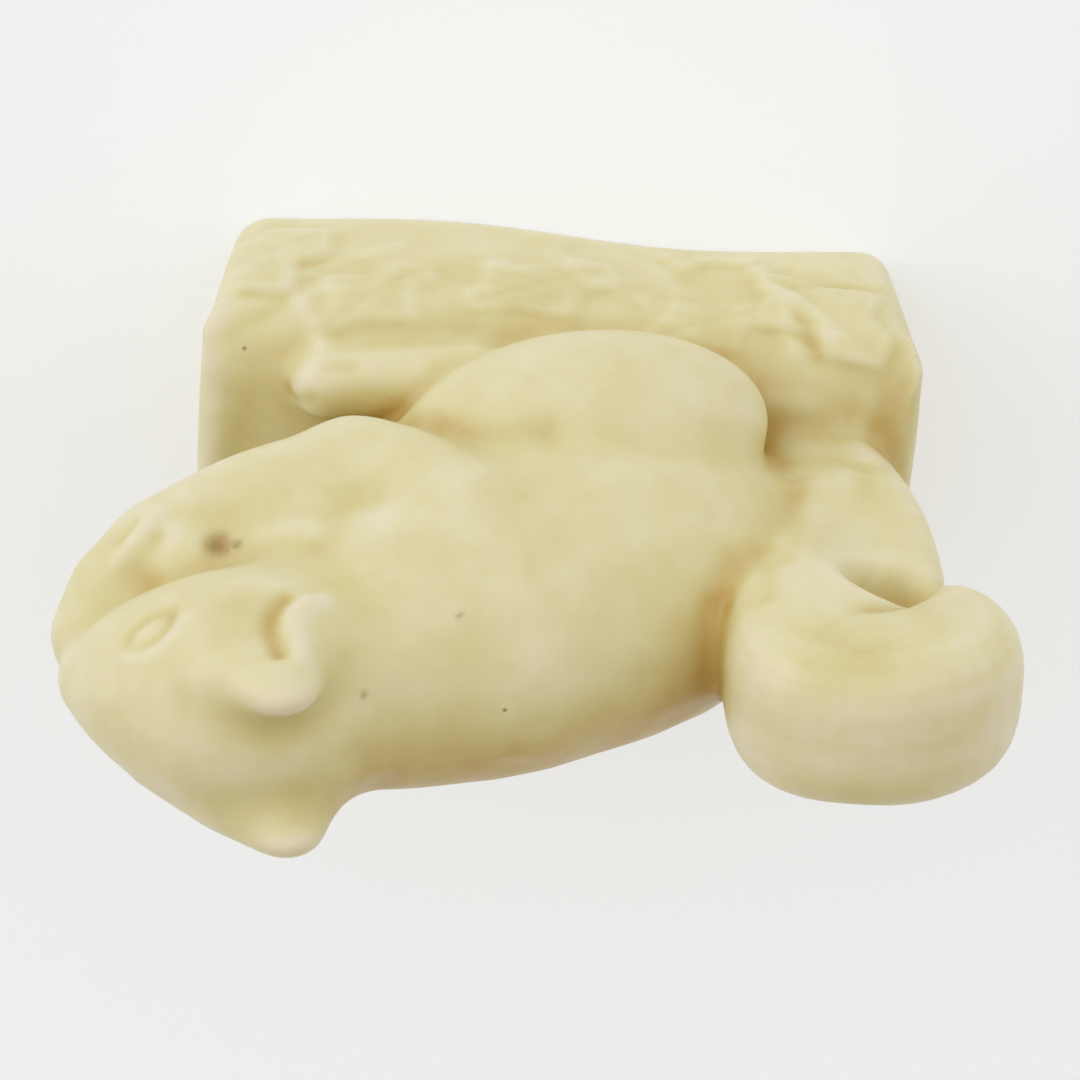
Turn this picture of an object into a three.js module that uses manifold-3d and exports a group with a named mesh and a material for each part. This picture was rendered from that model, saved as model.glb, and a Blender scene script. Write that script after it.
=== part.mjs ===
// A squirrel of glazed earthenware, crouched on a log with a nut in its paws.
// It is one casting. X runs to the squirrel's nose, Y to its left and Z up, in millimetres.
// The origin is the centre of the underside.
import * as THREE from "three";
import { triTable } from "three/addons/objects/MarchingCubes.js";
import { mergeVertices } from "three/addons/utils/BufferGeometryUtils.js";
import Module from "manifold-3d";

// Log under the squirrel
const LOG_LENGTH = 103;
const LOG_WIDTH = 50;
const LOG_HEIGHT = 35;
const LOG_CORNER = 5; // radius of the upright corners
const LOG_SHOULDER = 11; // radius from the long sides to the top
const LOG_END_EDGE = 4; // radius from the ends to the top
const LOG_SWELL = 1; // how far the ends swell out at their middle
const LOG_FLARE = 1.5; // how far the ends lean out at the top
const LOG_WAVE = 0.9; // how far the long sides wander in and out
const LOG_WAVES = 1.5; // times that they do, along the log

// Oak leaves on the log
const LEAF_RISE = 1.1; // of the boldest leaf
const LEAF_WIDTH = 0.6; // share of the leaf's length
const LEAF_LOBES = 3; // down each edge
const LEAF_NOTCH = 0.2; // depth of the notches between lobes, as a share of the leaf's half width
const LEAF_SHAPE = 0.8; // below 1 puts a leaf's widest part nearer its stalk
const LEAF_EDGE = 3.5; // over which a leaf rises
const LEAF_START = 0.5; // how far out on the log's top the leaves start, as a share of half its width
const LEAF_END = 8; // over which they fade out towards the log's ends
const LEAF_FOOT = 6; // over which they fade out towards its underside

// Squirrel, from the top of the log to the tips of its ears
const SQUIRREL_HEIGHT = 71;
const DRAWN_HEIGHT = 71; // the height that the forms below are drawn at
const scale = SQUIRREL_HEIGHT / DRAWN_HEIGHT;
const SQUIRREL_TURN = 4.5; // degrees to its left, from the log's own direction
const REACH = 0.96; // how far it reaches before and behind the log's middle, as a share of its height
const SPREAD = 0.42; // how far it reaches to each side, as a share of its height
const BRUSH_SQUARE = 3; // 2 would make the tail's sections plain ovals

// Facets that the surface is cut into
const FACET = 3.1; // size
const EASINGS = 3; // times that they are evened out
const EASE = 0.5; // share of the way that a corner then goes to the middle of its neighbours

const { abs, min, max, hypot, sin, cos, PI } = Math;
const degrees = PI / 180;

// A place on the squirrel: forward of the log's middle, left of it, and above the log's top.
const place = (x, y, z) => new THREE.Vector3(x * scale, y * scale, LOG_HEIGHT + z * scale);

// Every form is a function of a point: below zero inside, and about the distance to the surface outside.
// Its own numbers are in millimetres at DRAWN_HEIGHT, and in degrees.

// An egg with three radii, leaning nose-down by pitch, turned to the left by yaw and rolled to the right.
function egg(centre, radii, pitch = 0, yaw = 0, roll = 0) {
  const lean = new THREE.Euler(roll * degrees, pitch * degrees, yaw * degrees, "ZYX");
  const turn = new THREE.Quaternion().setFromEuler(lean).invert();
  const r = new THREE.Vector3(...radii).multiplyScalar(scale);
  const q = new THREE.Vector3();
  return (p) => {
    q.copy(p).sub(centre).applyQuaternion(turn).divide(r);
    const k = q.length();
    const slope = q.divide(r).length();
    return slope < 1e-9 ? -min(r.x, r.y, r.z) : (k * (k - 1)) / slope;
  };
}

// A limb along a smooth path of [x, y, z, radius] stations.
function limb(stations, steps = 14) {
  const path = new THREE.CatmullRomCurve3(stations.map(([x, y, z]) => place(x, y, z)));
  const radii = new THREE.SplineCurve(stations.map((s, i) => new THREE.Vector2(i, s[3] * scale)));
  const points = path.getPoints(steps);
  const thick = radii.getPoints(steps).map((v) => v.y);
  const along = new THREE.Vector3();
  const off = new THREE.Vector3();
  return (p) => {
    let nearest = Infinity;
    for (let i = 0; i < steps; i++) {
      along.subVectors(points[i + 1], points[i]);
      off.subVectors(p, points[i]);
      const t = min(1, max(0, off.dot(along) / along.lengthSq()));
      const radius = thick[i] + (thick[i + 1] - thick[i]) * t;
      nearest = min(nearest, off.addScaledVector(along, -t).length() - radius);
    }
    return nearest;
  };
}

// A thick tail: stations of [x, z, half its thickness, half its width] in the squirrel's middle plane.
function brush(stations, steps = 48) {
  const spots = stations.map(([x, z]) => place(x, 0, z));
  const path = new THREE.SplineCurve(spots.map((spot) => new THREE.Vector2(spot.x, spot.z)));
  const sizes = new THREE.SplineCurve(
    stations.map((s) => new THREE.Vector2(s[2] * scale, s[3] * scale)),
  );
  const points = path.getPoints(steps);
  const halves = sizes.getPoints(steps);
  return (p) => {
    let nearest = Infinity;
    for (let i = 0; i < steps; i++) {
      const ax = points[i + 1].x - points[i].x;
      const az = points[i + 1].y - points[i].y;
      const dx = p.x - points[i].x;
      const dz = p.z - points[i].y;
      const t = min(1, max(0, (dx * ax + dz * az) / (ax * ax + az * az)));
      const thick = halves[i].x + (halves[i + 1].x - halves[i].x) * t;
      const width = halves[i].y + (halves[i + 1].y - halves[i].y) * t;
      const out = hypot(dx - ax * t, dz - az * t) / thick;
      const k = (out ** BRUSH_SQUARE + abs(p.y / width) ** BRUSH_SQUARE) ** (1 / BRUSH_SQUARE);
      nearest = min(nearest, (k - 1) * min(thick, width));
    }
    return nearest;
  };
}

// Joins two distances with a fillet of about the given size.
function blend(a, b, fillet) {
  const h = max(fillet - abs(a - b), 0) / fillet;
  return min(a, b) - (h * h * fillet) / 4;
}

// Takes b out of a, with the edge rounded.
const scoop = (a, b, fillet) => -blend(-a, b, fillet);

// Rounds the edge where two faces meet, from the distances outside each.
const eased = (a, b, radius) => hypot(max(a + radius, 0), max(b + radius, 0)) - radius;

// The log's block: rounded corners, a rounder shoulder along its sides, ends that swell at their middle
// and lean out towards the top, and sides that wander.
function block(p) {
  const across = min(abs(p.y) / (LOG_WIDTH / 2), 1);
  const below = min(max(1 - p.z / LOG_HEIGHT, 0), 1);
  const wander = LOG_WAVE * sin((LOG_WAVES * 2 * PI * p.x) / LOG_LENGTH);
  const x = abs(p.x) - LOG_LENGTH / 2 + LOG_SWELL * across * across + LOG_FLARE * below;
  const y = abs(p.y) - LOG_WIDTH / 2 - wander;
  const z = p.z - LOG_HEIGHT;
  return max(eased(x, y, LOG_CORNER), eased(y, z, LOG_SHOULDER), eased(x, z, LOG_END_EDGE));
}

// Oak leaves in low relief on each long side. Where the stalk is, forward of the log's middle and down
// from its shoulder as shares of its sizes; the way the tip points, in degrees from forward towards
// the bottom; the length; and the share of LEAF_RISE that it stands out.
const LEAVES = [
  [0.56, 0.17, 134, 36, 0.9],
  [0.34, -0.02, 128, 28, 0.5],
  [0.15, 0.18, 141, 32, 0.5],
  [-0.1, 0.08, 150, 26, 0.5],
  [-0.28, 0.75, 240, 34, 0.9],
  [-0.08, 0.95, 185, 24, 0.6],
];

// From 0 to 1 and level at both ends.
function ramp(t) {
  const held = min(1, max(0, t));
  return held * held * (3 - 2 * held);
}

// How far the leaves stand out at a point that is x forward and s down from the shoulder. On a leaf,
// u runs from 0 at the stalk to 1 at the tip, and v is the distance from its middle vein.
function leafRise(x, s) {
  let rise = 0;
  for (const [fore, down, way, length, share] of LEAVES) {
    const dx = x - fore * LOG_LENGTH;
    const ds = s - down * LOG_HEIGHT;
    const u = (dx * cos(way * degrees) + ds * sin(way * degrees)) / length;
    const v = ds * cos(way * degrees) - dx * sin(way * degrees);
    if (u < 0 || u > 1) continue;
    const lobes = 1 + LEAF_NOTCH * cos(2 * PI * (LEAF_LOBES - 0.5) * u);
    const half = (LEAF_WIDTH * length * sin(PI * u ** LEAF_SHAPE) * lobes) / 2;
    rise = max(rise, LEAF_RISE * share * ramp((half - abs(v)) / LEAF_EDGE));
  }
  return rise;
}

// The log with its leaves, which fade out on its top, at its foot and at its ends.
function log(p) {
  const solid = block(p);
  if (abs(solid) > 3 * LEAF_RISE) return solid;
  const aside = ramp((abs(p.y) / (LOG_WIDTH / 2) - LEAF_START) / (1 - LEAF_START));
  const inner = ramp((LOG_LENGTH / 2 - abs(p.x)) / LEAF_END) * ramp(p.z / LEAF_FOOT);
  return solid - aside * inner * leafRise(p.x, abs(p.y) - LOG_WIDTH / 2 + LOG_HEIGHT - p.z);
}

// Forms of the squirrel. Those of a pair are drawn on its left, and p.y is made positive for them.
const rump = egg(place(-11, 0, 18), [22.5, 20, 27], -10);
const back = egg(place(3, 0, 28.5), [21, 19.5, 29], 12);
const shoulders = egg(place(17, 0, 36.5), [17, 17.5, 19.5], 25);
const neck = egg(place(27, 0, 47), [15, 14, 13.5], 10);
const belly = egg(place(16, 0, 14), [18, 17, 18]);
const throat = egg(place(32, 0, 35), [15, 16.5, 13], -15);
const thigh = egg(place(-4, 14.8, 10), [25.5, 13.5, 16.5], -8, -3);
const foot = limb([
  [12, 18, 2, 6],
  [22, 18.5, 1.5, 5],
  [32, 18, 1, 4.7],
]);
const upperArm = limb([
  [12, 13, 34, 9],
  [20, 15, 25, 7.8],
  [27, 14.2, 20.5, 6.9],
]);
const foreArm = limb([
  [27, 14.2, 20.5, 6.9],
  [40, 13.2, 26, 6.6],
  [52, 9.3, 31.7, 6.5],
]);
const armpit = egg(place(31, 12.3, 29), [13, 6.8, 7.5], -20);
const foreArmFill = egg(place(43, 10.2, 35), [10, 4.6, 5.6], -22);
const paw = egg(place(56, 6, 34), [6.9, 6, 6.3], -20);
const nut = egg(place(57, 0, 38), [9, 8, 9]);
const skull = egg(place(37, 0, 53), [17, 15.5, 14.5], 8);
const muzzle = limb([
  [40, 0, 52.5, 13.5],
  [50, 0, 50, 11],
  [57, 0, 48.6, 6.5],
]);
const earBase = egg(place(37, 10.2, 57.5), [9, 5.2, 9.5], -12);
const earTip = egg(place(33.8, 10.8, 65), [5, 3.3, 6.2], -20);
const earHollow = egg(place(37.2, 18, 60.5), [6.5, 3.1, 6.8], -20);
const rightEar = new THREE.Vector3(-0.3, 0, 1).multiplyScalar(scale); // from the left ear's mirror image
const tail = brush([
  [-35, -6, 8, 9],
  [-37.5, 8, 11.5, 10.5],
  [-38.2, 22, 13.2, 12],
  [-36, 36, 14.8, 12.8],
  [-32.3, 46, 11, 12],
  [-33.2, 54, 10.5, 11.4],
  [-40.8, 56.3, 9.8, 11.7],
  [-49, 52.2, 9.6, 11],
  [-50, 45, 8.4, 9.6],
  [-46, 41, 6.5, 7.5],
]);
const tailTrough = egg(place(-43, 18.5, 31.5), [8.5, 9.5, 13.5], -8);
const tailHollow = egg(place(-43, 15, 39.8), [6, 13, 5.5], -15);

// The whole figure. The squirrel is modelled in its own frame, turned a little on the log.
const turned = new THREE.Vector3();
const mirrored = new THREE.Vector3();
const aside = new THREE.Vector3();
const upright = new THREE.Vector3(0, 0, 1);
function figure(point) {
  const p = turned.copy(point).applyAxisAngle(upright, -SQUIRREL_TURN * degrees);
  const left = mirrored.set(p.x, abs(p.y), p.z);
  let body = blend(rump(p), back(p), 12);
  body = blend(body, shoulders(p), 12);
  body = blend(body, belly(p), 8);
  body = blend(body, neck(p), 10);
  body = blend(body, throat(p), 5);
  body = blend(body, thigh(left), 3);
  body = blend(body, foot(left), 2);
  let arm = blend(upperArm(left), foreArm(left), 4);
  arm = blend(arm, armpit(left), 4);
  arm = blend(arm, foreArmFill(left), 3);
  arm = blend(arm, paw(left), 3);
  body = blend(body, arm, 4);
  let head = blend(skull(p), muzzle(p), 8);
  const byEar = aside.copy(left);
  if (p.y < 0) byEar.sub(rightEar);
  head = blend(head, blend(earBase(byEar), earTip(byEar), 4), 4);
  head = scoop(head, earHollow(byEar), 3);
  body = blend(body, head, 5);
  body = blend(body, nut(p), 4);
  const hollowTail = scoop(scoop(tail(p), tailTrough(left), 7), tailHollow(left), 3);
  body = blend(body, hollowTail, 4);
  return max(blend(body, log(point), 6), -point.z - 2 * FACET);
}

// Corners of a grid cell, and its edges as pairs of them, in the order that triTable counts them.
const CORNERS = [
  [0, 0, 0],
  [1, 0, 0],
  [1, 1, 0],
  [0, 1, 0],
  [0, 0, 1],
  [1, 0, 1],
  [1, 1, 1],
  [0, 1, 1],
];
const EDGES = [0, 1, 2, 3, 4, 5, 6, 7]
  .map((e) => [e, (e & 4) + ((e + 1) & 3)])
  .concat([0, 1, 2, 3].map((e) => [e, e + 4]));

// The cells round a grid edge along x, y and z, anticlockwise, each with its own number for that edge.
const AROUND = [
  [[0, -1, -1, 6], [0, 0, -1, 4], [0, 0, 0, 0], [0, -1, 0, 2]],
  [[-1, 0, -1, 5], [-1, 0, 0, 1], [0, 0, 0, 3], [0, 0, -1, 7]],
  [[-1, -1, 0, 10], [0, -1, 0, 11], [0, 0, 0, 8], [-1, 0, 0, 9]],
];
const STEPS = [
  new THREE.Vector3(1, 0, 0),
  new THREE.Vector3(0, 1, 0),
  new THREE.Vector3(0, 0, 1),
];

// For each sign pattern of a cell's corners, which sheet of the surface each of its edges belongs to.
const SHEETS = Array.from({ length: 256 }, (_, pattern) => {
  const sheet = new Array(12).fill(-1);
  for (let t = 16 * pattern; triTable[t] >= 0; t += 3) {
    const trio = [triTable[t], triTable[t + 1], triTable[t + 2]];
    const joined = trio.map((e) => sheet[e]).filter((n) => n >= 0);
    const name = joined.length ? min(...joined) : t;
    for (let e = 0; e < 12; e++)
      if (trio.includes(e) || (sheet[e] >= 0 && joined.includes(sheet[e]))) sheet[e] = name;
  }
  return sheet;
});

// Facets of the surface where the field is zero: one point in each cell that a sheet of it crosses.
function surfaceOf(field, low, high, cell) {
  const n = high.clone().sub(low).divideScalar(cell).ceil().addScalar(1);
  const index = (i, j, k) => (k * n.y + j) * n.x + i;
  const value = new Float32Array(n.x * n.y * n.z);
  const corner = new THREE.Vector3();
  for (let k = 0; k < n.z; k++)
    for (let j = 0; j < n.y; j++)
      for (let i = 0; i < n.x; i++) {
        corner.set(i, j, k).multiplyScalar(cell).add(low);
        value[index(i, j, k)] = field(corner);
      }

  // Where a square of corners is inside crosswise, as in a crease too narrow for the grid, the nearer of
  // the two outside is filled in, so that no two sheets of the surface meet along an edge.
  const [right, back, up] = [1, n.x, n.x * n.y];
  const squares = [
    [right, back],
    [back, up],
    [up, right],
  ];
  function fillSquare(a, b, c, d) {
    const inside = value[a] < 0;
    if (inside !== value[c] < 0 || inside === value[b] < 0 || inside === value[d] < 0) return false;
    const [one, other] = inside ? [b, d] : [a, c];
    const nearer = value[one] < value[other] ? one : other;
    value[nearer] = -value[nearer] / 4 - 1e-3;
    return true;
  }
  let filled = true;
  while (filled) {
    filled = false;
    for (let c = 0; c < value.length - up - back; c++)
      for (const [s, t] of squares) filled = fillSquare(c, c + s, c + s + t, c + t) || filled;
  }

  // Moves a point along the field's slope towards the surface.
  const probe = new THREE.Vector3();
  const slope = new THREE.Vector3();
  const reach = cell / 3;
  function settle(point) {
    STEPS.forEach((step, axis) => {
      const ahead = field(probe.copy(point).addScaledVector(step, reach));
      const behind = field(probe.copy(point).addScaledVector(step, -reach));
      slope.setComponent(axis, (ahead - behind) / (2 * reach));
    });
    slope.multiplyScalar(-field(point) / max(slope.lengthSq(), 0.5));
    point.add(slope.clampLength(0, cell / 4));
  }

  // The point of a cell's sheet that crosses the given edge: the middle of all that sheet's crossings.
  const points = [];
  const made = new Map();
  function pointIn(i, j, k, edge) {
    const ends = CORNERS.map(([x, y, z]) => value[index(i + x, j + y, k + z)]);
    const sheets = SHEETS[ends.reduce((sum, v, c) => sum + (v < 0 ? 1 << c : 0), 0)];
    const key = 16 * index(i, j, k) + (sheets[edge] % 16);
    if (!made.has(key)) {
      const middle = new THREE.Vector3();
      const crossing = new THREE.Vector3();
      let crossings = 0;
      EDGES.forEach(([a, b], e) => {
        if (sheets[e] !== sheets[edge]) return;
        const t = ends[a] / (ends[a] - ends[b]);
        middle.add(crossing.fromArray(CORNERS[a]).lerp(probe.fromArray(CORNERS[b]), t));
        crossings++;
      });
      middle.divideScalar(crossings).add(corner.set(i, j, k)).multiplyScalar(cell).add(low);
      made.set(key, points.push(middle) - 1);
    }
    return made.get(key);
  }

  const triangles = [];
  for (let k = 1; k < n.z - 1; k++)
    for (let j = 1; j < n.y - 1; j++)
      for (let i = 1; i < n.x - 1; i++)
        AROUND.forEach((cells, axis) => {
          const inside = value[index(i, j, k)] < 0;
          const { x, y, z } = STEPS[axis];
          if (inside === value[index(i + x, j + y, k + z)] < 0) return;
          const ring = cells.map(([di, dj, dk, edge]) => pointIn(i + di, j + dj, k + dk, edge));
          if (!inside) ring.reverse();
          const [a, b, c, d] = ring;
          if (points[a].distanceTo(points[c]) < points[b].distanceTo(points[d]))
            triangles.push(a, b, c, a, c, d);
          else triangles.push(a, b, d, b, c, d);
        });

  // Draws each point towards the middle of its neighbours, then settles it on the surface.
  for (let round = 0; round < EASINGS; round++) {
    const sums = points.map(() => new THREE.Vector4(0, 0, 0, 0));
    for (let t = 0; t < triangles.length; t += 3)
      for (const [here, there] of [[0, 1], [1, 2], [2, 0]]) {
        const { x, y, z } = points[triangles[t + there]];
        sums[triangles[t + here]].add(new THREE.Vector4(x, y, z, 1));
      }
    points.forEach((point, i) => {
      const { x, y, z, w } = sums[i];
      point.lerp(probe.set(x, y, z).divideScalar(w), EASE);
      settle(point);
    });
  }
  return {
    positions: new Float32Array(points.flatMap((point) => point.toArray())),
    triangles: new Uint32Array(triangles),
  };
}

const wasm = await Module();
wasm.setup();

// Points and triangles as a solid.
const solidOf = ({ positions, triangles }) =>
  new wasm.Manifold(new wasm.Mesh({ numProp: 3, vertProperties: positions, triVerts: triangles }));

// A three.js geometry as a solid.
function solidFrom(geometry) {
  geometry.deleteAttribute("normal");
  geometry.deleteAttribute("uv");
  const merged = mergeVertices(geometry, 1e-4);
  return solidOf({
    positions: new Float32Array(merged.attributes.position.array),
    triangles: new Uint32Array(merged.index.array),
  });
}

// The box that holds the figure, with room for a few facets round it.
const margin = 4 * FACET;
const high = new THREE.Vector3(
  max(LOG_LENGTH / 2, REACH * SQUIRREL_HEIGHT) + margin,
  max(LOG_WIDTH / 2 + LOG_WAVE + LEAF_RISE, SPREAD * SQUIRREL_HEIGHT) + margin,
  LOG_HEIGHT + SQUIRREL_HEIGHT + margin,
);
const low = new THREE.Vector3(-high.x, -high.y, -margin);
const rough = solidOf(surfaceOf(figure, low, high, FACET));

// The underside is cut flat.
const floor = new THREE.BoxGeometry(4 * high.x, 4 * high.y, 4 * margin);
const casting = rough.subtract(solidFrom(floor.translate(0, 0, -2 * margin))).getMesh();

const geometry = new THREE.BufferGeometry();
geometry.setAttribute("position", new THREE.BufferAttribute(casting.vertProperties, 3));
geometry.setIndex(new THREE.BufferAttribute(casting.triVerts, 1));
geometry.computeVertexNormals();

const glaze = new THREE.MeshStandardMaterial({ color: 0xddd2a0, roughness: 0.35, metalness: 0 });
const squirrel = new THREE.Mesh(geometry, glaze);
squirrel.name = "squirrel_on_log";

const part = new THREE.Group();
part.add(squirrel);
export default part;
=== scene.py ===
"""A squirrel of pale yellow glazed pottery on its log, on a plain studio floor.

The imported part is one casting. Its solid is copied, cut into fine faces and laid on a smooth
surface of the same forms, then the small relief, the brushed fur and the glaze are added.
Lengths are in metres, except in the tables of forms, which are in millimetres as the part's
source has them.
"""

from math import cos, pi, radians, sin

import bpy
import numpy as np
from bpy.props import FloatProperty, FloatVectorProperty, IntProperty, PointerProperty
from mathutils import Matrix, Vector


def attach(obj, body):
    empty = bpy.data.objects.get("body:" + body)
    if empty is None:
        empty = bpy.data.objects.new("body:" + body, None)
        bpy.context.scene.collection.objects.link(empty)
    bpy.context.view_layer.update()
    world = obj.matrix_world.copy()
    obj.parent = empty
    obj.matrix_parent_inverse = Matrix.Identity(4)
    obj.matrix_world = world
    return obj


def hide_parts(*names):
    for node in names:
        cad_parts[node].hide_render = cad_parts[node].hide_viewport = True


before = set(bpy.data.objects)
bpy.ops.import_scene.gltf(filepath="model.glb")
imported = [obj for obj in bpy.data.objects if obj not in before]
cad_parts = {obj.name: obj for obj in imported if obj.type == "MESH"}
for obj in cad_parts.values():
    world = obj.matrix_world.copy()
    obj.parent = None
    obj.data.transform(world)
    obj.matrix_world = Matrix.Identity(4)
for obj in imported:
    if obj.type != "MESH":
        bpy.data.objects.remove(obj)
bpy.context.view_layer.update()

bl_info = {
    "name": "Glazed squirrel",
    "version": (1, 0, 0),
    "blender": (4, 5, 0),
    "location": "3D View > Sidebar > Ornament",
    "description": "Makes a glazed pottery squirrel on a log, and a plain studio round it",
    "category": "Object",
}

MM = 0.001


# Sizes that the part's source has too, in millimetres, degrees or shares as there
LOG_LENGTH = 103
LOG_WIDTH = 50
LOG_HEIGHT = 35
LOG_CORNER = 5
LOG_SHOULDER = 11
LOG_END_EDGE = 4
LOG_SWELL = 1
LOG_FLARE = 1.5
LOG_WAVE = 0.9
LOG_WAVES = 1.5
LEAF_RISE = 1.1
LEAF_WIDTH = 0.6
LEAF_LOBES = 3
LEAF_NOTCH = 0.2
LEAF_SHAPE = 0.8
LEAF_EDGE = 3.5
LEAF_START = 0.5
LEAF_END = 8
LEAF_FOOT = 6
BRUSH_SQUARE = 3
SQUIRREL_TURN = 4.5
RIGHT_EAR = np.array([-0.3, 0, 1])

# Veins of the leaves: the side veins' spacing and lean, and half the width of each kind
VEIN_SPACING = 5.5
VEIN_LEAN = 0.9
MIDDLE_VEIN = 1.1
SIDE_VEIN = 1.0

# The tail's mean radius, which turns an angle round it into a length
TAIL_RADIUS = 12

# How sharply a mark fades across half its width, and how much of a mark shows on the log
MARK_FADE = 1.4
LOG_MARK_SHARE = 0.7

# How the fine points are laid on the forms: rounds, evening in each, steps in each, and their limit
LAYING_ROUNDS = 6
EVENING_ROUNDS = 2
STEPS = 2
STEP_LIMIT = 1.2

# How far out a hollow is felt for, and the share of each distance
FEELERS = ((1.5, 0.2), (4, 0.35), (9, 0.45))

# Thickness of the glaze, from 0 at its thinnest: on open places, and what is added in hollows, for
# each millimetre of a dip or a ridge, on the log, over the top and left of the back as painted
# shade, on the tail, and taken off under the arms as painted light
GLAZE_OPEN = 0.22
GLAZE_HOLLOW = 0.6
GLAZE_DIP = 1.4
GLAZE_RIDGE = -0.3
GLAZE_LOG = 0.16
PAINTED_SHADE_BACK = 0.6
GLAZE_TAIL = -0.08
PAINTED_LIGHT_ARM_HOLLOW = -0.25
PAINTED_LIGHT_ARM_LOG = -0.1

# The photograph's camera: degrees above level, distance, lens, sensor and the place it looks at
CAMERA_TILT = 60
CAMERA_AWAY = 0.38
CAMERA_LENS = 91.2
CAMERA_SENSOR = 36
CAMERA_AIM = (0.002, 0, 0.0485)

# Leaves: fore and down as shares of the log's sizes, way in degrees, length, and share of the rise
LEAVES = [
    [0.56, 0.17, 134, 36, 0.9],
    [0.34, -0.02, 128, 28, 0.5],
    [0.15, 0.18, 141, 32, 0.5],
    [-0.1, 0.08, 150, 26, 0.5],
    [-0.28, 0.75, 240, 34, 0.9],
    [-0.08, 0.95, 185, 24, 0.6],
]

# Tail: x, z, half its thickness and half its width, in the squirrel's middle plane
TAIL = [
    [-35, -6, 8, 9],
    [-37.5, 8, 11.5, 10.5],
    [-38.2, 22, 13.2, 12],
    [-36, 36, 14.8, 12.8],
    [-32.3, 46, 11, 12],
    [-33.2, 54, 10.5, 11.4],
    [-40.8, 56.3, 9.8, 11.7],
    [-49, 52.2, 9.6, 11],
    [-50, 45, 8.4, 9.6],
    [-46, 41, 6.5, 7.5],
]

# Marks on the squirrel, drawn on its left and mirrored: the points of a line, half its width and
# its height. A hollow has a height below zero. Points are in the squirrel's own frame, from the
# log's underside up.
# Each eye is a ring with a low ball in it: its middle, and half its length and height as ways.
EYE = [50.2, 12.1, 91.7]
EYE_LONG = [2.6, -1.9, 0.8]
EYE_SHORT = [-0.85, -0.2, 1.75]
MARKS = [
    [[[47.2, 14.1, 90.7]], 1.2, -0.2],
    [[[52.8, 9.3, 93.1], [49.6, 10.7, 94.7], [47.0, 12.9, 94.6], [45.2, 14.6, 93.2]], 1.3, 0.3],
    [[[28.8, 15.0, 89.4], [31.6, 15.2, 92.6], [31.9, 14.6, 96.2], [30.4, 14.0, 100.2]], 1.8, 0.7],
    [[[33.1, 15.9, 90.1], [34.5, 15.1, 92.2], [34.8, 14.5, 95.2], [33.3, 14.4, 100.5]], 1.5, -0.8],
    [[[51.6, 15.6, 68.7], [53.8, 13.8, 71.1], [56.5, 11.2, 72.9]], 1.4, 0.5],
    [[[51.1, 13.5, 71.6], [51.0, 11.3, 72.9], [49.7, 9.1, 73.2]], 1.5, -0.5],
    [[[54.5, 14.7, 69.4], [56.4, 12.9, 70.8]], 1.3, -0.3],
    [[[49.2, 13.5, 71.2]], 3.0, 0.4],
    [[[37.4, 15.1, 73.5], [31.5, 16.6, 73.5]], 2.2, 0.3],
    [[[30.4, 15.9, 77.5]], 2.2, -0.3],
    [[[19.9, 18.7, 47.2], [18.1, 20.0, 50.8], [12.6, 21.3, 55.6], [7.3, 21.9, 57.9],
      [1.3, 22.6, 58.8]], 2.4, -0.28],
    [[[31.0, 22.0, 38.7], [28.4, 22.2, 38.9]], 1.6, -0.4],
    [[[37.2, 17.4, 36.2], [36.6, 16.5, 36.9], [33.8, 17.7, 40.3]], 1.3, -0.4],
    [[[-30.2, 14.2, 34.6], [-36.1, 13.6, 34.7], [-42.2, 10.7, 35.6], [-44.2, 9.9, 42.4]], 2.6, 0.4],
    [[[-39.7, 10.9, 44.5]], 4.5, -0.5],
    [[[-32.5, 11.7, 55.4], [-31.9, 12.5, 65.1], [-29.6, 12.4, 74.4]], 2.4, -0.35],
    [[[-42.7, 11.0, 47.0], [-40.5, 12.2, 61.7]], 2.4, -0.3],
    [[[-27.0, 11.8, 70.9], [-26.6, 11.4, 82.0]], 2.2, -0.3],
    [[[-38.1, 11.3, 95.8]], 7.0, -0.7],
    [[[-33.3, 11.5, 52.1], [-31.3, 12, 59.3], [-27.4, 12, 68], [-23.6, 10.8, 72.9],
      [-21.5, 7.5, 77.8]], 2.8, -0.4],
    [[[22.4, 18.0, 74.0]], 5.0, 0.5],
]
# The dip of the largest pit, on the squirrel's right only
PIT = [[[43.5, -14.0, 73.5]], 1.8, -0.9]
# Places bare of glaze, on its right only, and their radii
PITS = [
    [[43.5, -14.0, 73.5], 1.5],
    [[41.0, -14.0, 73.8], 0.7],
    [[42.3, -13.5, 74.6], 0.5],
    [[23.6, -5.9, 96.8], 0.45],
    [[31.1, -15.3, 92.3], 0.4],
    [[11.9, -12.4, 88.8], 0.35],
]

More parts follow.
